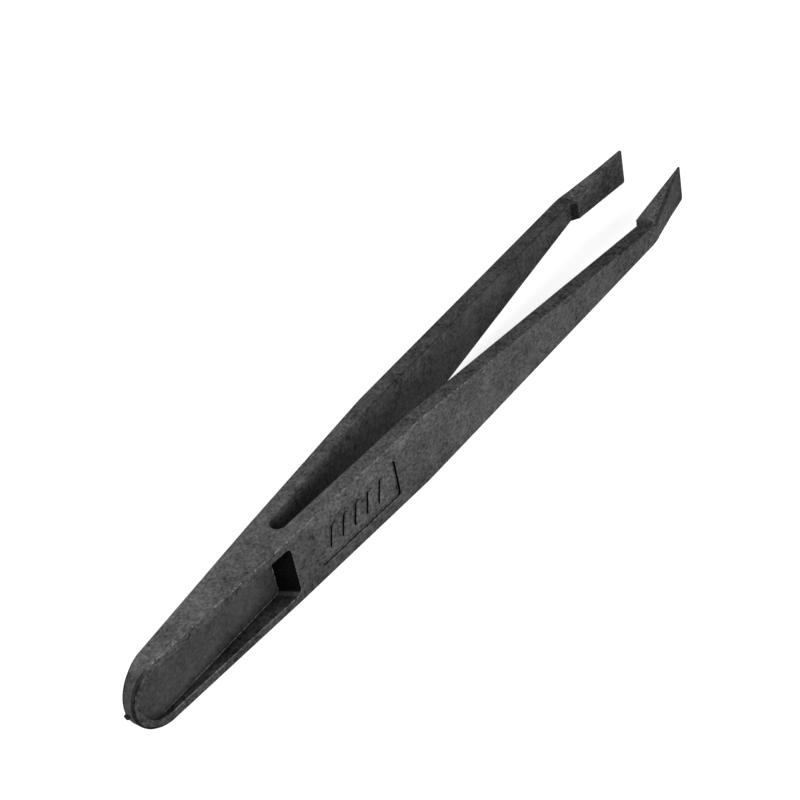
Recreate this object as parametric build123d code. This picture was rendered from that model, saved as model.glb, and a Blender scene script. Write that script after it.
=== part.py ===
from build123d import *
import os

# Precision tweezers moulded in one piece: a flat round-heeled handle, two springy arms and two
# wedge-shaped jaws. Sizes are in millimetres.
#
# While the shape is built, X runs from the heel end to the tips, Y is the way the arms open
# (left is +Y) and Z runs across the broad faces, with Z = 0 halfway up. to_row_frame then moves
# everything so that the origin is the middle of the box round the part, on the plane it lies on.

# Driving dimensions
overall_length = 115.0
handle_height = 10.3
heel_reach = 4.75          # length of the rounded heel end
heel_half_width = 0.95     # half the handle's width at the heel end
root_x = 27.0              # where the handle's flanks turn into the arms' outer faces
root_half_width = 3.1
slot_root_x = 28.4         # bottom of the slot between the arms
slot_half_gap = 1.05       # half the slot's width just after its round bottom
taper_x = 52.0             # from here on the arms get lower towards the neck
neck_x = 102.3             # where the jaw's shoulder starts
neck_half_gap = 5.7
elbow_x = 103.4            # where the outer face bends inwards and the arm is lowest
elbow_half_width = 8.03
elbow_half_height = 1.42
elbow_radius = 3.0         # the outer face bends round this radius, seen along Z
valley_radius = 8.0        # the top and bottom edges turn from falling to rising round this one
shoulder_length = 1.0
jaw_half_gap = 4.8
tip_half_height = 2.95
tip_edge = 0.15            # thickness left on the tip's edge
corner_radius = 0.35       # rounding of the tip's two corners, seen from the side

# Pocket in each flank of the handle, which leaves a thin web in the middle
pocket_rim = 1.2
web_half_thickness = 0.55
pocket_mouth_x = 27.6      # end of the pocket in the flank
pocket_floor_x = 26.2      # end of the pocket at the web
pocket_draft = 0.12        # how much the pocket's sides close in down to the web
pocket_corner_radius = 0.8

# Shallow panel in each arm's outer face, with plain raised ribs
panel_start_x = 31.9
panel_length = 15.0
panel_height = 6.0
panel_offset = -0.2        # the panel sits this far from the middle of the handle's height
panel_depth = 0.35
panel_corner_radius = 0.5
rib_count = 5
rib_pitch = 2.3
rib_length = 3.6
rib_width = 0.9
rib_rise = 0.25
rib_lean_deg = 15.0

# Low stub left on the heel end where the plastic entered the mould
gate_radius = 0.4
gate_y = 0.35
gate_z = -0.5
gate_rise = 0.3

# Each arm flexes about a line across its root; the cut there is round about the same line
flex_x = 34.0
flex_radius = 3.75
flex_clearance = 0.03

# Worked-out sizes
half_height = handle_height / 2
flank_slope = (root_half_width - heel_half_width) / root_x
arm_slope = (elbow_half_width - root_half_width) / (elbow_x - root_x)
gap_slope = (neck_half_gap - slot_half_gap) / (neck_x - slot_root_x)
shoulder_x = neck_x + shoulder_length
flex_outer_y = root_half_width + arm_slope * (flex_x - root_x)
flex_inner_y = slot_half_gap + gap_slope * (flex_x - slot_root_x)
flex_y = (flex_outer_y + flex_inner_y) / 2
beyond = 5.0               # how far cutting tools reach past the moulding

LEFT = 1
RIGHT = -1


def plan_outline():
    """The whole moulding seen along Z: flanks, arms, jaws and the slot between them."""
    slot_start = slot_root_x + slot_half_gap
    slot_start_half_gap = slot_half_gap + gap_slope * slot_half_gap
    half = [
        (0, heel_half_width),
        (root_x, root_half_width),
        (elbow_x, elbow_half_width),
        (overall_length, jaw_half_gap + tip_edge),
        (overall_length, jaw_half_gap),
        (shoulder_x, jaw_half_gap),
        (neck_x, neck_half_gap),
        (slot_start, slot_start_half_gap),
    ]
    mirrored = [(x, -y) for x, y in half]
    with BuildSketch(Plane.XY) as sketch:
        with BuildLine():
            Polyline(*half)
            Polyline(*mirrored)
            Line(half[0], mirrored[0])
            ThreePointArc(half[-1], (slot_root_x, 0), mirrored[-1])
        make_face()
        outermost = sketch.vertices().group_by(Axis.Y)
        fillet(outermost[0] + outermost[-1], elbow_radius)
    return sketch.sketch


def side_outline():
    """The whole moulding seen along Y: round heel, level handle, lowered neck, flared jaws."""
    with BuildSketch(Plane.XZ) as sketch:
        with BuildLine():
            EllipticalCenterArc((heel_reach, 0), heel_reach, half_height, 90, arc_size=180)
            for side in (1, -1):
                Polyline(
                    (heel_reach, side * half_height),
                    (taper_x, side * half_height),
                    (elbow_x, side * elbow_half_height),
                    (overall_length, side * tip_half_height),
                )
            Line((overall_length, tip_half_height), (overall_length, -tip_half_height))
        make_face()
        by_length = sketch.vertices().group_by(Axis.X)
        tip_corners = by_length[-1]
        elbow_corners = by_length[-2]
        fillet(tip_corners, corner_radius)
        fillet(elbow_corners, valley_radius)
    return sketch.sketch


def blank():
    """The solid moulding without its pockets and panels."""
    plan = extrude(plan_outline(), half_height, both=True)
    side = extrude(side_outline(), elbow_half_width + beyond, both=True)
    return plan & side


def pocket_outline(y, end_x, inset):
    """The pocket's outline at one depth: round at the heel, square with soft corners at its end."""
    half = half_height - pocket_rim - inset
    reach = heel_reach - pocket_rim
    with BuildSketch(Plane.XZ.offset(-y)) as sketch:
        with BuildLine():
            EllipticalCenterArc((heel_reach, 0), reach, half, 90, arc_size=180)
            Polyline((heel_reach, half), (end_x, half), (end_x, -half), (heel_reach, -half))
        make_face()
        end_corners = sketch.vertices().group_by(Axis.X)[-1]
        fillet(end_corners, pocket_corner_radius)
    return sketch.sketch


def pocket(side):
    """The space taken out of one flank, down to the web. Its end wall slopes."""
    flank_y = root_half_width
    end_slope = (pocket_mouth_x - pocket_floor_x) / (flank_y - web_half_thickness)
    mouth_y = flank_y + 1.0
    mouth_end_x = pocket_mouth_x + end_slope * (mouth_y - flank_y)
    floor = pocket_outline(side * web_half_thickness, pocket_floor_x, pocket_draft)
    mouth = pocket_outline(side * mouth_y, mouth_end_x, 0)
    return loft([floor, mouth])


def outer_face_plane(side):
    """A plane on one arm's outer face: x along the arm, y up, z outwards."""
    along = Vector(1, side * arm_slope, 0)
    outwards = Vector(-arm_slope, side, 0)
    return Plane(origin=(root_x, side * root_half_width, 0), x_dir=along, z_dir=outwards)


def panel(side):
    """The shallow recess in one arm's outer face, less the ribs left standing in it."""
    face = outer_face_plane(side)
    up = face.y_dir.Z
    middle = (panel_start_x - root_x + panel_length / 2, up * panel_offset)
    with BuildSketch(face) as recess:
        with Locations(middle):
            RectangleRounded(panel_length, panel_height, panel_corner_radius)
    with BuildSketch(face.offset(-panel_depth)) as ribs:
        with Locations(middle):
            with GridLocations(rib_pitch, 0, rib_count, 1):
                SlotOverall(rib_length, rib_width, rotation=90 - up * rib_lean_deg)
    cut = extrude(recess.sketch, -panel_depth) + extrude(recess.sketch, beyond)
    return cut - extrude(ribs.sketch, rib_rise)


def gate_stub():
    """The small round stub on the heel end, standing out by gate_rise."""
    stub = Cylinder(gate_radius, 2 * gate_rise, rotation=(0, 90, 0))
    return Pos(0, gate_y, gate_z) * stub


def moulding():
    """The finished moulding, still in one piece."""
    shape = blank()
    for side in (LEFT, RIGHT):
        shape -= pocket(side)
        shape -= panel(side)
    return shape + gate_stub()


def flexing_space(side, radius):
    """Everything on one side that turns with the arm: from a round cut at the root to the tips."""
    length = overall_length - flex_x + beyond
    width = elbow_half_width + beyond
    ahead = Pos(flex_x + length / 2, side * width / 2, 0) * Box(length, width, 2 * handle_height)
    round_cut = Pos(flex_x, side * flex_y, 0) * Cylinder(radius, 2 * handle_height)
    own_side = Pos(flex_x, side * width / 2, 0) * Box(4 * radius, width, 2 * handle_height)
    return ahead + (round_cut & own_side)


def jaw_space():
    """Everything from the neck to the tips."""
    length = overall_length - neck_x + beyond
    width = 2 * (elbow_half_width + beyond)
    return Pos(neck_x + length / 2, 0, 0) * Box(length, width, 2 * handle_height)


def to_row_frame(shape):
    """Moves a shape to the frame whose origin is under the middle of the part."""
    middle_x = (overall_length - gate_rise) / 2
    return Pos(-middle_x, 0, half_height) * shape


def build():
    """Cuts the moulding into its named regions and writes one file for each."""
    whole = moulding()
    nodes = {"handle": whole}
    for name, side in (("left", LEFT), ("right", RIGHT)):
        nodes["handle"] -= flexing_space(side, flex_radius + flex_clearance)
        flexing = whole & flexing_space(side, flex_radius)
        nodes[name + "_arm"] = flexing - jaw_space()
        nodes[name + "_jaw"] = flexing & jaw_space()
    os.makedirs("parts", exist_ok=True)
    for name, shape in nodes.items():
        export_step(to_row_frame(shape), f"parts/{name}.step")


build()
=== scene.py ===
import math

import bmesh
import bpy
from mathutils import Matrix, Vector


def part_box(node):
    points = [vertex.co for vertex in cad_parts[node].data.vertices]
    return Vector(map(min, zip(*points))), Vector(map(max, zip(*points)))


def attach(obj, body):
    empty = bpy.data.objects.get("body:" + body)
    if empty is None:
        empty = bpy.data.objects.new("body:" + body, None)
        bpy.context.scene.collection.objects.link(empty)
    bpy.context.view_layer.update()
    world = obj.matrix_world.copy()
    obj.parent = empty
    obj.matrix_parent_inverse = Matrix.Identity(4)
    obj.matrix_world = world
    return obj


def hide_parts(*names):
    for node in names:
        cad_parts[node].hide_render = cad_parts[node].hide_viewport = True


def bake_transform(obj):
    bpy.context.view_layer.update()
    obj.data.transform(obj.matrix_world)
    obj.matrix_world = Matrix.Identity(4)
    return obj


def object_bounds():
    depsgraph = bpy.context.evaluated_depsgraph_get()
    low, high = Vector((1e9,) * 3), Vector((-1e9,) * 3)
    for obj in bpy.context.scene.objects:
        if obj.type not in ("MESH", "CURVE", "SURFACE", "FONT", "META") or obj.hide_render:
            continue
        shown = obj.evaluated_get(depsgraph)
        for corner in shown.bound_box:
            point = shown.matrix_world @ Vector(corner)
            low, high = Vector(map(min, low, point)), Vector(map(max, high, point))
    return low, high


# The tweezers are one moulding of black carbon-filled plastic. Its skin is drawn in four pieces: one
# on the handle, one on its gate stub and one on each arm with its jaw. The arms' skins meet the
# handle's without a gap.

MM = 0.001
SIDES = ("left", "right")

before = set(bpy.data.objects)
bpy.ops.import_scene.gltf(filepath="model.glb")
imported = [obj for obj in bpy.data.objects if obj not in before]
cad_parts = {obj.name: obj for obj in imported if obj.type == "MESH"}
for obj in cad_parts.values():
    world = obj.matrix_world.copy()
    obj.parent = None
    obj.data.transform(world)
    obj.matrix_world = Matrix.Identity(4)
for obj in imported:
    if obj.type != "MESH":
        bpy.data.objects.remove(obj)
cad_low, cad_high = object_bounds()
handle_low, handle_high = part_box("handle")
arm_low, arm_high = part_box("left_arm")
jaw_low, jaw_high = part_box("left_jaw")

# Points closer than this are one point, and edges flatter than this lie inside a flat area.
WELD_GAP = 0.001 * MM
CUT_GAP = 1e-8
FLAT_ANGLE = math.radians(0.1)

# The widest rounding in the moulding; each edge sharper than SHARP_ANGLE has its own share of it.
EDGE_RADIUS = 0.42 * MM
LONG_EDGE_SHARE = 0.3
FINE_EDGE_SHARE = 0.2
CORNER_STEPS = 4
SHARP_ANGLE = math.radians(20)
FLAT_FACE_WEIGHT = 80

# Kinds of face, which the material shows differently. Edges with more than WIDE_SHARE are wide.
WIDE_SHARE = 0.6
FINE_EDGE = 1
WIDE_EDGE = 2
PANEL_FLOOR = 3

# Where the edges' rounding changes: round the heel's end, in the panels and after the shoulders.
HEEL_REACH = 4.75 * MM
HEEL_END = handle_low.x + HEEL_REACH
OUTLINE_REACH = 0.88
PANEL_LENGTH = 20 * MM
PANEL_EDGE = 0.6 * MM
WIDE_JAW_EDGES = jaw_low.x + 1 * MM

# The gate stub: how far down from its end, and how wide there, as a share of its radius.
STUB_PROFILE = (
    (0.04 * MM, 0.5),
    (0.0, 0.78),
    (0.03 * MM, 0.93),
    (0.1 * MM, 1.0),
    (0.24 * MM, 1.0),
    (0.45 * MM, 1.15),
)
STUB_END = 0.05 * MM
STUB_SIDES = 24
STUB_TEAR = 0.06

# The skins of the handle and the arms meet in one plane, just behind the round cut in the frame.
SEAM_X = arm_low.x - 0.1 * MM
TRIM_X = handle_high.x + 0.1 * MM
BEND_LENGTH = 12 * MM
STATION_GAP = 0.75 * MM

# Each jaw is drawn as rounded sections: close together at its shoulder and its tip, wider between.
JAW_START = jaw_low.x - 1.5 * MM
SHOULDER_END = jaw_low.x + 2.5 * MM
TIP_START = jaw_high.x - 0.6 * MM
FINE_STEP = 0.1 * MM
COARSE_STEP = 0.6 * MM
ROUNDED_PART_OF_THICKNESS = 0.28

# The round mark that an ejector pin left in the valley before each jaw, on the upper side. Its
# inside is painted shade, and its rim on the jaw's side a painted highlight.
PIN_MARK_X = jaw_low.x + 0.8 * MM
PIN_MARK_Y = 6.6 * MM
PIN_MARK_RADIUS = 1.1 * MM
PIN_MARK_PAINTED_SHADE = 0.35
PIN_RIM_PAINTED_HIGHLIGHT = 0.7

# The plastic's grain: how many features there are in a millimetre.
SWIRL_PER_MM = 0.4
SWIRL_PUSH = 2.5
CLOUDS_PER_MM = 1.0
SPECKS_PER_MM = 2.6
PATCHES_PER_MM = 0.2
STREAKS_PER_MM = 2.0
STREAK_STRETCH = 0.25
WEAR_AND_HIGHLIGHT_PER_MM = 2.2

# How strong the grain is on the webs and on the upper and lower faces. It is 1 on the walls.
WEB_GRAIN = 0.5
WEB_FACE = 0.6 * MM
PAST_WEB = 1.0 * MM
HANDLE_GRAIN = 0.85
ARM_GRAIN = 1.2

# Painted shade: the share of tone that deep corners and faces that look back keep, and how much
# darker the edges are painted.
CORNER_REACH = 4 * MM
CORNER_SAMPLES = 8
CORNER_PAINTED_SHADE_SHARE = 0.3
LOOKING_BACK_PAINTED_SHADE_SHARE = 0.06
INNER_EDGE_PAINTED_SHADE = 0.45
HEEL_EDGE_PAINTED_SHADE = 0.75
JAW_EDGE_PAINTED_SHADE = 0.45

# The plastic's tone, sheen and relief, how much wear and painted highlights lift the edges, and
# how much paler painted light makes the panels and the heel.
TONE_SWING = 0.35
TONE_MOST = 0.072
WEAR_AND_HIGHLIGHT_TONE = 0.08
PANEL_PAINTED_LIGHT = 0.45
HEEL_PAINTED_LIGHT = 1.3
BLUE_TINT = 1.02
DULLEST = 0.54
GLOSSIEST = 0.32
SPECULAR = 0.3
RELIEF = 0.022 * MM

# The camera looks down on the right arm's outer face from behind the handle, and leans to one side.
CAMERA_AZIMUTH = -46.0
CAMERA_ELEVATION = 40.45
CAMERA_ROLL = 11.7
CAMERA_LENS = 99.4
CAMERA_DISTANCE = 288.7 * MM
CAMERA_TARGET = Vector((1.3 * MM, 3.9 * MM, cad_high.z / 2 + 0.08 * MM))

# Softboxes: direction from +X in the floor's plane, height over it (degrees), size and power.
LIGHT_DISTANCE = 0.6
SOFTBOXES = {
    "right_softbox": (-62, 24, 0.40, 0.40, 2.4),
    "front_softbox": (-100, 15, 0.30, 0.30, 1.7),
    "back_softbox": (65, 48, 0.35, 0.20, 1.2),
    "left_softbox": (110, 50, 0.30, 0.30, 0.9),
    "heel_softbox": (-172, 14, 0.20, 0.20, 3.2),
}

# The floor lies just under the tweezers. To the camera it is a pale grey that glows.
FLOOR_SIZE = 4.0
FLOOR_Z = -0.02 * MM
FLOOR_GREY = 0.4
FLOOR_SHINE = 0.84

# Painted light: to the tweezers the floor glows as if it threw light up. The glow is brightest
# beside the middle, fades towards both ends, and is darker under the tweezers as a painted shadow.
GLOW_MIDDLE = 6 * MM
GLOW_REACH = 75 * MM
GLOW_MOST = 0.88
GLOW_LEAST = 0.10
GLOW_UNDER = 0.5
GLOW_SIDE_START = cad_high.y / 2
GLOW_SIDE_END = 1.5 * cad_high.y


# ---------------------------------------------------------------- skins

def welded_copy(node_names):
    """One mesh from copies of some CAD nodes."""
    mesh = bmesh.new()
    for node_name in node_names:
        mesh.from_mesh(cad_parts[node_name].data)
    bmesh.ops.remove_doubles(mesh, verts=mesh.verts, dist=WELD_GAP)
    return mesh


def drop_inner_faces(mesh, x):
    """Removes the faces that two neighbouring regions share in the plane at x."""
    inside = [f for f in mesh.faces if all(abs(v.co.x - x) < 2 * WELD_GAP for v in f.verts)]
    bmesh.ops.delete(mesh, geom=inside, context="FACES")


def merge_flats(mesh):
    """Joins the triangles of each flat area into larger faces."""
    bmesh.ops.dissolve_limit(mesh, angle_limit=FLAT_ANGLE, verts=mesh.verts, edges=mesh.edges)


def cut_across(mesh, x, **clear):
    """Cuts the mesh in the plane at x and returns the vertices on the cut."""
    geometry = mesh.verts[:] + mesh.edges[:] + mesh.faces[:]
    cut = bmesh.ops.bisect_plane(
        mesh, geom=geometry, plane_co=(x, 0, 0), plane_no=(1, 0, 0), dist=CUT_GAP, **clear
    )
    return [g for g in cut["geom_cut"] if isinstance(g, bmesh.types.BMVert)]


def add_stations(mesh, start, end):
    """Cuts the mesh crosswise at even steps."""
    count = round((end - start) / STATION_GAP)
    for i in range(count):
        cut_across(mesh, start + (end - start) * (i + 0.5) / count)


def extend_to(cut_verts, x):
    """Carries an open end on to x, each of its upright sides in its own plane."""
    slopes = {}
    for vert in cut_verts:
        for edge in vert.link_edges:
            step = edge.other_vert(vert).co - vert.co
            if not edge.is_boundary and abs(step.z) < WELD_GAP:
                slopes[round(vert.co.y / MM, 3)] = step.y / step.x
    for vert in cut_verts:
        way = x - vert.co.x
        vert.co += Vector((way, way * slopes[round(vert.co.y / MM, 3)], 0))


def close_end(mesh, x):
    """Fills the open end at x and keeps its outline sharp."""
    outline = [e for e in mesh.edges if e.is_boundary and abs(e.verts[0].co.x - x) < 10 * WELD_GAP]
    for edge in outline:
        edge.smooth = False
    bmesh.ops.holes_fill(mesh, edges=outline, sides=0)


def weigh_edges(mesh, share):
    """Gives every sharp edge its share of the rounding."""
    layer = mesh.edges.layers.float.new("bevel_weight_edge")
    for edge in mesh.edges:
        if not edge.is_boundary and edge.calc_face_angle() > SHARP_ANGLE:
            edge[layer] = share((edge.verts[0].co + edge.verts[1].co) / 2)


def applied(piece):
    """The piece's mesh with its modifiers worked in."""
    graph = bpy.context.evaluated_depsgraph_get()
    return bpy.data.meshes.new_from_object(piece.evaluated_get(graph))


def mesh_object(name, mesh):
    """An object made of the mesh, with smooth faces that look outwards."""
    bmesh.ops.recalc_face_normals(mesh, faces=mesh.faces)
    for face in mesh.faces:
        face.smooth = True
    data = bpy.data.meshes.new(name)
    mesh.to_mesh(data)
    mesh.free()
    piece = bpy.data.objects.new(name, data)
    bpy.context.scene.collection.objects.link(piece)
    return piece


def rounded(mesh, share):
    """Rounds the mesh's sharp edges, each by its share, and marks fine and wide edges."""
    weigh_edges(mesh, share)
    piece = mesh_object("rounding", mesh)
    for _ in range(PANEL_FLOOR + 1):
        piece.data.materials.append(None)
    bevel = piece.modifiers.new("round", "BEVEL")
    bevel.limit_method = "WEIGHT"
    bevel.width = EDGE_RADIUS
    bevel.segments = CORNER_STEPS
    bevel.use_clamp_overlap = False
    bevel.loop_slide = False
    bevel.material = FINE_EDGE
    result = bmesh.new()
    result.from_mesh(applied(piece))
    bpy.data.objects.remove(piece)
    # Wide edges are painted darker in the material, as shade.
    for face in result.faces:
        if face.material_index == FINE_EDGE and share(face.calc_center_median()) > WIDE_SHARE:
            face.material_index = WIDE_EDGE
    return result


def finished_skin(name, mesh):
    """The skin's object: large faces keep flat shading and pass it on to the rounded edges."""
    piece = mesh_object(name, mesh)
    normals = piece.modifiers.new("normals", "WEIGHTED_NORMAL")
    normals.keep_sharp = True
    normals.weight = FLAT_FACE_WEIGHT
    piece.data = applied(piece)
    piece.modifiers.clear()
    return piece


def handle_share(place):
    """The handle's outline is rounded more and more round the heel's end; its pockets aren't."""
    past_curve = max(1 - (place.x - handle_low.x) / HEEL_REACH, 0)
    height = abs(2 * place.z / cad_high.z - 1)
    if math.hypot(past_curve, height) < OUTLINE_REACH:
        return FINE_EDGE_SHARE
    return LONG_EDGE_SHARE + (1 - LONG_EDGE_SHARE) * min(2 * past_curve, 1)


def arm_share(place):
    """An arm's edges are finely rounded, and finer still in its panel."""
    in_length = place.x < arm_low.x + PANEL_LENGTH
    in_height = PANEL_EDGE < place.z < arm_high.z - PANEL_EDGE
    return FINE_EDGE_SHARE if in_length and in_height else LONG_EDGE_SHARE


def handle_skin():
    mesh = welded_copy(["handle"])
    merge_flats(mesh)
    stub_end = take_off_stub(mesh)
    cut_across(mesh, SEAM_X, clear_outer=True)
    mesh = rounded(mesh, handle_share)
    close_end(mesh, SEAM_X)
    piece = finished_skin("handle_skin", mesh)
    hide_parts("handle")
    return piece, gate_stub(stub_end)


def take_off_stub(mesh):
    """Takes the gate stub off the heel and closes the gap. Returns its end's corner points."""
    end = [v for v in mesh.verts if v.co.x < handle_low.x + STUB_END]
    places = [v.co.copy() for v in end]
    bmesh.ops.delete(mesh, geom=end, context="VERTS")
    gap = [e for e in mesh.edges if e.is_boundary]
    # in the edges' order, because a set's order changes from run to run
    foot = list(dict.fromkeys(v for e in gap for v in e.verts))
    bmesh.ops.holes_fill(mesh, edges=gap, sides=0)
    bmesh.ops.dissolve_verts(mesh, verts=foot)
    return places


def gate_stub(end):
    """The low stub that the runner left when it was twisted off: round, with a torn top."""
    middle = sum(end, Vector()) / len(end)
    radius = max(p.y for p in end) - middle.y
    mesh = bmesh.new()
    rings = []
    for depth, share in STUB_PROFILE:
        ring = []
        for i in range(STUB_SIDES):
            angle = math.tau * i / STUB_SIDES
            torn = 1 + STUB_TEAR * math.sin(3 * angle) * (depth < STUB_END)
            reach = radius * share * torn
            offset = Vector((depth, reach * math.cos(angle), reach * math.sin(angle)))
            ring.append(mesh.verts.new(middle + offset))
        rings.append(ring)
    for ring, following in zip(rings, rings[1:]):
        for i in range(STUB_SIDES):
            mesh.faces.new((ring[i - 1], ring[i], following[i], following[i - 1]))
    mesh.faces.new(rings[0])
    mesh.faces.new(rings[-1])
    # The whole stub counts as a wide edge, so it takes the heel's painted edge shade.
    for face in mesh.faces:
        face.material_index = WIDE_EDGE
    return finished_skin("gate_stub_skin", mesh)


def mark_panel(mesh):
    """Marks the faces that look outwards but aren't part of the arm's large outer wall."""
    outward = [f for f in mesh.faces if f.normal.y < -0.9]
    wall = max(outward, key=lambda f: f.calc_area())
    for face in outward:
        if face is not wall and face.calc_center_median().x < arm_low.x + PANEL_LENGTH:
            face.material_index = PANEL_FLOOR


def right_arm_mesh():
    """The right arm's skin without its jaw, carried back to the seam and closed there."""
    mesh = welded_copy(["right_arm"])
    merge_flats(mesh)
    mark_panel(mesh)
    extend_to(cut_across(mesh, TRIM_X, clear_inner=True), SEAM_X)
    cut_across(mesh, JAW_START, clear_outer=True)
    mesh = rounded(mesh, arm_share)
    add_stations(mesh, SEAM_X, SEAM_X + BEND_LENGTH)
    close_end(mesh, SEAM_X)
    return mesh


def section_places():
    """Where along X the jaw's sections stand."""
    places = []
    x = JAW_START
    while x < jaw_high.x - FINE_STEP / 2:
        places.append(x)
        x += COARSE_STEP if SHOULDER_END < x < TIP_START else FINE_STEP
    return places + [jaw_high.x - WELD_GAP]


def section_box(mesh, x):
    """The lowest and highest corners of the mesh's section at x."""
    sliced = mesh.copy()
    points = [v.co for v in cut_across(sliced, x)]
    low = Vector((x, min(p.y for p in points), min(p.z for p in points)))
    high = Vector((x, max(p.y for p in points), max(p.z for p in points)))
    sliced.free()
    return low, high


def section_ring(mesh, low, high, inner_radius, outer_radius):
    """Adds the outline of one section of the right jaw: a rectangle with rounded corners."""
    verts = []
    for quarter, (side_y, side_z) in enumerate(((1, 1), (-1, 1), (-1, -1), (1, -1))):
        radius = inner_radius if side_y > 0 else outer_radius
        centre_y = (high.y if side_y > 0 else low.y) - side_y * radius
        centre_z = (high.z if side_z > 0 else low.z) - side_z * radius
        for step in range(CORNER_STEPS + 1):
            angle = math.radians(90) * (quarter + step / CORNER_STEPS)
            y = centre_y + radius * math.cos(angle)
            z = centre_z + radius * math.sin(angle)
            verts.append(mesh.verts.new((low.x, y, z)))
    return verts


def add_right_jaw(mesh):
    """Carries the right arm's open end on into its jaw, section by section, and closes the tip."""
    frame_jaw = welded_copy(["right_arm", "right_jaw"])
    drop_inner_faces(frame_jaw, arm_high.x)
    open_end = [v for v in mesh.verts if v.is_boundary]
    rings = []
    for x in section_places():
        low, high = section_box(frame_jaw, x)
        past_shoulder = min(max((x - jaw_low.x) / (SHOULDER_END - jaw_low.x), 0), 1)
        widest = ROUNDED_PART_OF_THICKNESS * (high.y - low.y)
        inner = min(LONG_EDGE_SHARE * EDGE_RADIUS, widest)
        outer = min((LONG_EDGE_SHARE + (1 - LONG_EDGE_SHARE) * past_shoulder) * EDGE_RADIUS, widest)
        rings.append(section_ring(mesh, low, high, inner, outer))
    for ring, following in zip(rings, rings[1:]):
        for i in range(len(ring)):
            face = mesh.faces.new((ring[i - 1], ring[i], following[i], following[i - 1]))
            if i % (CORNER_STEPS + 1):
                is_outer = 1 <= i // (CORNER_STEPS + 1) <= 2
                # Wide edges on the jaw's outer side take the jaws' painted edge shade.
                is_wide = is_outer and face.calc_center_median().x > WIDE_JAW_EDGES
                face.material_index = WIDE_EDGE if is_wide else FINE_EDGE
    mesh.faces.new(rings[-1])
    bmesh.ops.remove_doubles(mesh, verts=open_end + rings[0], dist=30 * WELD_GAP)
    frame_jaw.free()


def arm_skin(side):
    """One arm's skin. The moulding is symmetrical, so the left one is the right one mirrored."""
    mesh = right_arm_mesh()
    add_right_jaw(mesh)
    if side == "left":
        bmesh.ops.scale(mesh, vec=(1, -1, 1), verts=mesh.verts)
    piece = finished_skin(side + "_arm_skin", mesh)
    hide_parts(side + "_arm", side + "_jaw")
    return piece


def bend_at_root(piece):
    """Works the arm's skin's placing into its mesh."""
    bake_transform(piece)


def keep_rest_position(piece):
    """Stores where each point is at rest; the surface's grain is drawn from these places."""
    layer = piece.data.attributes.new("rest_position", "FLOAT_VECTOR", "POINT")
    for vert, value in zip(piece.data.vertices, layer.data):
        value.vector = vert.co


def mark_faces(piece):
    """Stores which faces are fine edges, wide edges and panel, which all look different."""
    for name, kind in (("fine_edge", FINE_EDGE), ("wide_edge", WIDE_EDGE), ("panel", PANEL_FLOOR)):
        layer = piece.data.attributes.new(name, "FLOAT", "FACE")
        for face, value in zip(piece.data.polygons, layer.data):
            value.value = face.material_index == kind
    for face in piece.data.polygons:
        face.material_index = 0


# ---------------------------------------------------------------- material

class NodeBuilder:
    """Adds shader nodes with their inputs set or linked in one call."""

    def __init__(self, material):
        material.use_nodes = True
        self.tree = material.node_tree
        self.shader = self.tree.nodes["Principled BSDF"]

    def add(self, kind, output=0, settings=None, **inputs):
        node = self.tree.nodes.new("ShaderNode" + kind)
        for key, value in (settings or {}).items():
            setattr(node, key, value)
        for key, value in inputs.items():
            self.put(node.inputs[int(key[1:]) if key[1:].isdigit() else key], value)
        return node.outputs[output]

    def put(self, socket, value):
        if isinstance(value, bpy.types.NodeSocket):
            self.tree.links.new(value, socket)
        else:
            socket.default_value = value

    def math(self, operation, first, second=0.0):
        return self.add("Math", settings={"operation": operation}, i0=first, i1=second)

    def absolute(self, value):
        return self.math("ABSOLUTE", value)

    def times(self, first, *others):
        """The product of some values."""
        for value in others:
            first = self.math("MULTIPLY", first, value)
        return first

    def scaled(self, vector, factors):
        return self.add("VectorMath", settings={"operation": "MULTIPLY"}, i0=vector, i1=factors)

    def parts(self, vector):
        """The X, Y and Z of a vector."""
        node = self.add("SeparateXYZ", i0=vector).node
        return node.outputs[0], node.outputs[1], node.outputs[2]

    def mixed(self, shares):
        """The sum of some values, each times its share."""
        total = 0.0
        for value, share in shares.items():
            total = self.math("ADD", total, self.times(value, share))
        return total

    def ranged(self, value, low, high, to_low=0.0, to_high=1.0):
        return self.add("MapRange", i0=value, i1=low, i2=high, i3=to_low, i4=to_high)

    def face_value(self, name):
        return self.add("Attribute", 2, settings={"attribute_name": name})

    def noise(self, vector, per_mm, detail, roughness=0.6):
        return self.add("TexNoise", Vector=vector, Scale=per_mm, Detail=detail, Roughness=roughness)


def grain_patterns(build, place):
    """Specks, clouds drawn into wisps by a slower swirl, large patches, and upright draw marks."""
    swirl = build.add("TexNoise", 1, Vector=place, Scale=SWIRL_PER_MM, Detail=2.0)
    push = build.scaled(swirl, (SWIRL_PUSH, SWIRL_PUSH, SWIRL_PUSH))
    flowing = build.add("VectorMath", settings={"operation": "ADD"}, i0=place, i1=push)
    specks = build.ranged(build.noise(place, SPECKS_PER_MM, 2.0), 0.3, 0.7)
    clouds = build.ranged(build.noise(flowing, CLOUDS_PER_MM, 4.0), 0.3, 0.7)
    patches = build.ranged(build.noise(place, PATCHES_PER_MM, 2.0, 0.5), 0.35, 0.65)
    streaks = build.noise(build.scaled(place, (1, 1, STREAK_STRETCH)), STREAKS_PER_MM, 4.0)
    return specks, clouds, patches, streaks


def grain_strength(build, along, across, facing_z):
    """The webs in the pockets are smoother than the walls, and the arms' upper faces rougher."""
    on_wall = build.ranged(build.absolute(across), WEB_FACE, PAST_WEB, WEB_GRAIN, 1.0)
    level = build.absolute(facing_z)
    on_top = build.times(level, build.ranged(along, arm_low.x, 0.0, HANDLE_GRAIN, ARM_GRAIN))
    is_top = build.math("GREATER_THAN", level, 0.5)
    return build.add("Mix", 0, i0=is_top, i2=on_wall, i3=on_top)


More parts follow.
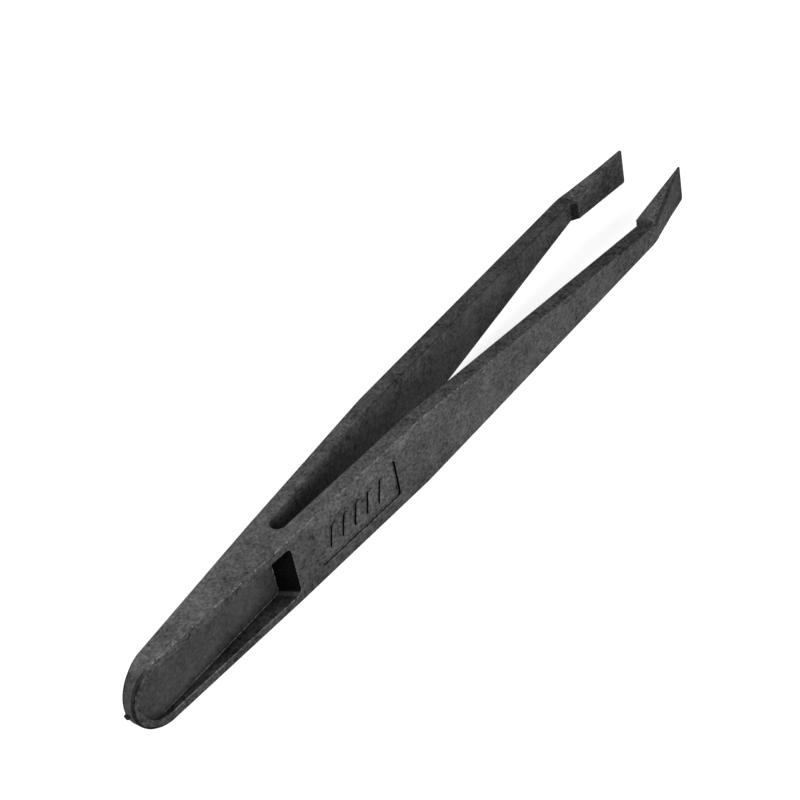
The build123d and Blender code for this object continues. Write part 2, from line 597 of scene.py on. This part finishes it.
def pin_mark_shade_and_highlight(build, along, across, facing_z):
    """How pale the round pin marks are: painted shade inside, and a painted highlight on the rim on
    the jaw's side.
    """
    past = build.math("SUBTRACT", along, PIN_MARK_X)
    aside = build.math("SUBTRACT", build.absolute(across), PIN_MARK_Y)
    squares = build.math("ADD", build.times(past, past), build.times(aside, aside))
    reach = build.math("DIVIDE", build.math("SQRT", squares), PIN_MARK_RADIUS)
    is_top = build.math("GREATER_THAN", facing_z, 0.5)
    inside = build.times(is_top, build.ranged(reach, 1.0, 0.85))
    rim = build.times(is_top, build.ranged(reach, 0.8, 0.95), build.ranged(reach, 1.2, 1.05))
    rim = build.times(rim, build.ranged(past, 0.0, PIN_MARK_RADIUS / 2))
    pale = build.math("SUBTRACT", 1.0, build.times(inside, PIN_MARK_PAINTED_SHADE))
    return build.math("ADD", pale, build.times(rim, PIN_RIM_PAINTED_HIGHLIGHT))


def edge_wear_and_highlight(build, place, along, is_outer):
    """Fine outer edges are paler in short broken stretches, less and less towards the jaws: wear
    together with painted highlights.
    """
    broken = build.ranged(build.noise(place, WEAR_AND_HIGHLIGHT_PER_MM, 3.0, 0.7), 0.48, 0.56)
    past_heel = build.math("GREATER_THAN", along, HEEL_END)
    towards_handle = build.times(past_heel, build.ranged(along, arm_high.x, 0.0))
    return build.times(build.face_value("fine_edge"), broken, is_outer, towards_handle)


def painted_edge_shade(build, along, is_outer):
    """Painted shade: how much darker the arms' inner edges and the wide edges of the heel and the
    jaws are painted.
    """
    is_inner = build.math("SUBTRACT", 1.0, is_outer)
    on_arm = build.times(
        build.ranged(along, arm_low.x, 0.0),
        build.ranged(along, arm_high.x, JAW_START),
    )
    fine = build.times(build.face_value("fine_edge"), is_inner, on_arm, INNER_EDGE_PAINTED_SHADE)
    past_heel = build.math("GREATER_THAN", along, HEEL_END)
    fading = build.ranged(along, HEEL_END, HEEL_END - HEEL_REACH / 2)
    loss = build.ranged(along, handle_low.x, 0.0, HEEL_EDGE_PAINTED_SHADE, JAW_EDGE_PAINTED_SHADE)
    reached = build.math("MAXIMUM", past_heel, fading)
    wide = build.times(build.face_value("wide_edge"), loss, reached)
    return build.math("ADD", fine, wide)


def share_left_by_painted_shade(build, along, facing_x):
    """Painted shade: deep corners are painted dark, and so are faces past the heel that look back at
    it.
    """
    settings = {"samples": CORNER_SAMPLES, "only_local": True}
    shade = build.add("AmbientOcclusion", 1, settings=settings, Distance=CORNER_REACH)
    in_corners = build.ranged(shade, 0.5, 0.9, CORNER_PAINTED_SHADE_SHARE, 1.0)
    past_heel = build.math("GREATER_THAN", along, HEEL_END)
    looks_back = build.times(past_heel, build.ranged(facing_x, -0.4, -0.74))
    return build.times(in_corners, build.ranged(looks_back, 0.0, 1.0, 1.0, LOOKING_BACK_PAINTED_SHADE_SHARE))


def plastic_material():
    """Black carbon-filled plastic: a speckled grain, flow marks, draw marks, worn edges with painted
    highlights, and painted light and shade.
    """
    material = bpy.data.materials.new("carbon_filled_plastic")
    build = NodeBuilder(material)
    rest = build.add("Attribute", 1, settings={"attribute_name": "rest_position"})
    place = build.scaled(rest, (1 / MM, 1 / MM, 1 / MM))
    along, across, _ = build.parts(rest)
    facing_x, facing_y, facing_z = build.parts(build.add("NewGeometry", 1))
    is_outer = build.math("GREATER_THAN", build.times(facing_y, across), 0.0)

    # Painted shade darkens the colour and the sheen of edges, deep corners and faces that look back.
    kept = build.math("SUBTRACT", 1.0, painted_edge_shade(build, along, is_outer))
    kept = build.times(share_left_by_painted_shade(build, along, facing_x), kept)
    # Painted light: paler towards the heel, and paler still on the panels.
    heel_painted_light = build.ranged(along, handle_low.x, arm_low.x, HEEL_PAINTED_LIGHT, 1.0)
    pale = build.math("ADD", build.times(build.face_value("panel"), PANEL_PAINTED_LIGHT), heel_painted_light)
    # Painted shade and painted highlight of the pin marks.
    pale = build.times(pale, pin_mark_shade_and_highlight(build, along, across, facing_z))

    specks, clouds, patches, streaks = grain_patterns(build, place)
    mixed = build.mixed({clouds: 0.3, specks: 0.52, patches: 0.18})
    strength = grain_strength(build, along, across, facing_z)
    lively = build.times(build.math("SUBTRACT", mixed, 0.5), strength)
    tone = build.times(build.ranged(lively, -TONE_SWING, TONE_SWING, 0.0, TONE_MOST), pale)
    # Wear and painted highlights along the fine outer edges.
    wear_and_highlight = build.times(edge_wear_and_highlight(build, place, along, is_outer), WEAR_AND_HIGHLIGHT_TONE)
    tone = build.times(build.math("ADD", tone, wear_and_highlight), kept)
    color = build.add("CombineColor", i0=tone, i1=tone, i2=build.times(tone, BLUE_TINT))
    roughness = build.ranged(lively, -TONE_SWING, TONE_SWING, DULLEST, GLOSSIEST)
    build.put(build.shader.inputs["Base Color"], color)
    build.put(build.shader.inputs["Roughness"], roughness)
    # The sheen is dimmed by the same painted shade.
    build.put(build.shader.inputs["Specular IOR Level"], build.times(kept, SPECULAR))

    height = build.mixed({specks: 1.0, clouds: 0.5, streaks: 0.5})
    bump = build.add("Bump", Strength=1.0, Distance=RELIEF, Height=height)
    build.put(build.shader.inputs["Normal"], bump)
    return material


# ---------------------------------------------------------------- stage

def floor_material():
    """Pale with faint shadows to the camera; to the tweezers, a painted glow that fades to its ends,
    with painted shadow under them.
    """
    material = bpy.data.materials.new("floor")
    build = NodeBuilder(material)
    paper = build.shader
    build.put(paper.inputs["Base Color"], (FLOOR_GREY, FLOOR_GREY, FLOOR_GREY, 1))
    build.put(paper.inputs["Roughness"], 1.0)
    build.put(paper.inputs["Specular IOR Level"], 0.0)
    build.put(paper.inputs["Emission Color"], (1, 1, 1, 1))
    build.put(paper.inputs["Emission Strength"], FLOOR_SHINE)
    along, across, _ = build.parts(build.add("NewGeometry", 0))
    away = build.absolute(build.math("SUBTRACT", along, GLOW_MIDDLE))
    # Painted shadow: the glow is darker under the tweezers.
    beside = build.ranged(build.absolute(across), GLOW_SIDE_START, GLOW_SIDE_END, GLOW_UNDER, 1.0)
    level = build.times(build.ranged(away, 0.0, GLOW_REACH, GLOW_MOST, GLOW_LEAST), beside)
    glow = build.add("Emission", i0=(1, 1, 1, 1), i1=level)
    seen = build.add("LightPath", 0)
    mix = build.add("MixShader", i0=seen, i1=glow, i2=paper.outputs[0])
    build.put(build.tree.nodes["Material Output"].inputs["Surface"], mix)
    return material


def add_floor():
    bpy.ops.mesh.primitive_plane_add(size=FLOOR_SIZE, location=(0, 0, FLOOR_Z))
    floor = bpy.context.object
    floor.name = "floor"
    floor.data.materials.append(floor_material())


def white_world():
    """White behind everything, for the camera only: it gives no light."""
    world = bpy.data.worlds.new("white")
    world.use_nodes = True
    tree = world.node_tree
    seen = tree.nodes.new("ShaderNodeLightPath")
    tree.links.new(seen.outputs["Is Camera Ray"], tree.nodes["Background"].inputs["Strength"])
    tree.nodes["Background"].inputs["Color"].default_value = (1, 1, 1, 1)
    bpy.context.scene.world = world


def add_softbox(name, azimuth, elevation, width, height, power):
    """A rectangular light at LIGHT_DISTANCE from the middle of the tweezers, facing it."""
    light = bpy.data.lights.new(name, "AREA")
    light.shape = "RECTANGLE"
    light.size = width
    light.size_y = height
    light.energy = power
    lamp = bpy.data.objects.new(name, light)
    bpy.context.scene.collection.objects.link(lamp)
    across, up = math.radians(azimuth), math.radians(elevation)
    away = Vector((math.cos(up) * math.cos(across), math.cos(up) * math.sin(across), math.sin(up)))
    lamp.location = away * LIGHT_DISTANCE + Vector((0, 0, cad_high.z / 2))
    lamp.rotation_euler = (-away).to_track_quat("-Z", "Y").to_euler()


def add_camera():
    azimuth, elevation = math.radians(CAMERA_AZIMUTH), math.radians(CAMERA_ELEVATION)
    back = Vector((
        math.sin(azimuth) * math.cos(elevation),
        -math.cos(azimuth) * math.cos(elevation),
        math.sin(elevation),
    ))
    camera_data = bpy.data.cameras.new("camera")
    camera_data.lens = CAMERA_LENS
    camera_data.clip_start = 0.01
    camera_data.clip_end = 20
    camera = bpy.data.objects.new("camera", camera_data)
    bpy.context.scene.collection.objects.link(camera)
    lean = Matrix.Rotation(-math.radians(CAMERA_ROLL), 3, "Z")
    turn = back.to_track_quat("Z", "Y").to_matrix() @ lean
    camera.matrix_world = Matrix.Translation(CAMERA_TARGET + back * CAMERA_DISTANCE) @ turn.to_4x4()
    bpy.context.scene.camera = camera


# ---------------------------------------------------------------- assembly

plastic = plastic_material()
handle_pieces = handle_skin()
arm_pieces = {side: arm_skin(side) for side in SIDES}
for piece in (*handle_pieces, *arm_pieces.values()):
    keep_rest_position(piece)
    mark_faces(piece)
    piece.data.materials.clear()
    piece.data.materials.append(plastic)
for piece in handle_pieces:
    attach(piece, "handle")
for side, piece in arm_pieces.items():
    bend_at_root(piece)
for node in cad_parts.values():
    node.data.materials.clear()
    node.data.materials.append(plastic)

add_floor()
white_world()
for name, placing in SOFTBOXES.items():
    add_softbox(name, *placing)
add_camera()
bpy.context.scene.view_settings.view_transform = "Standard"
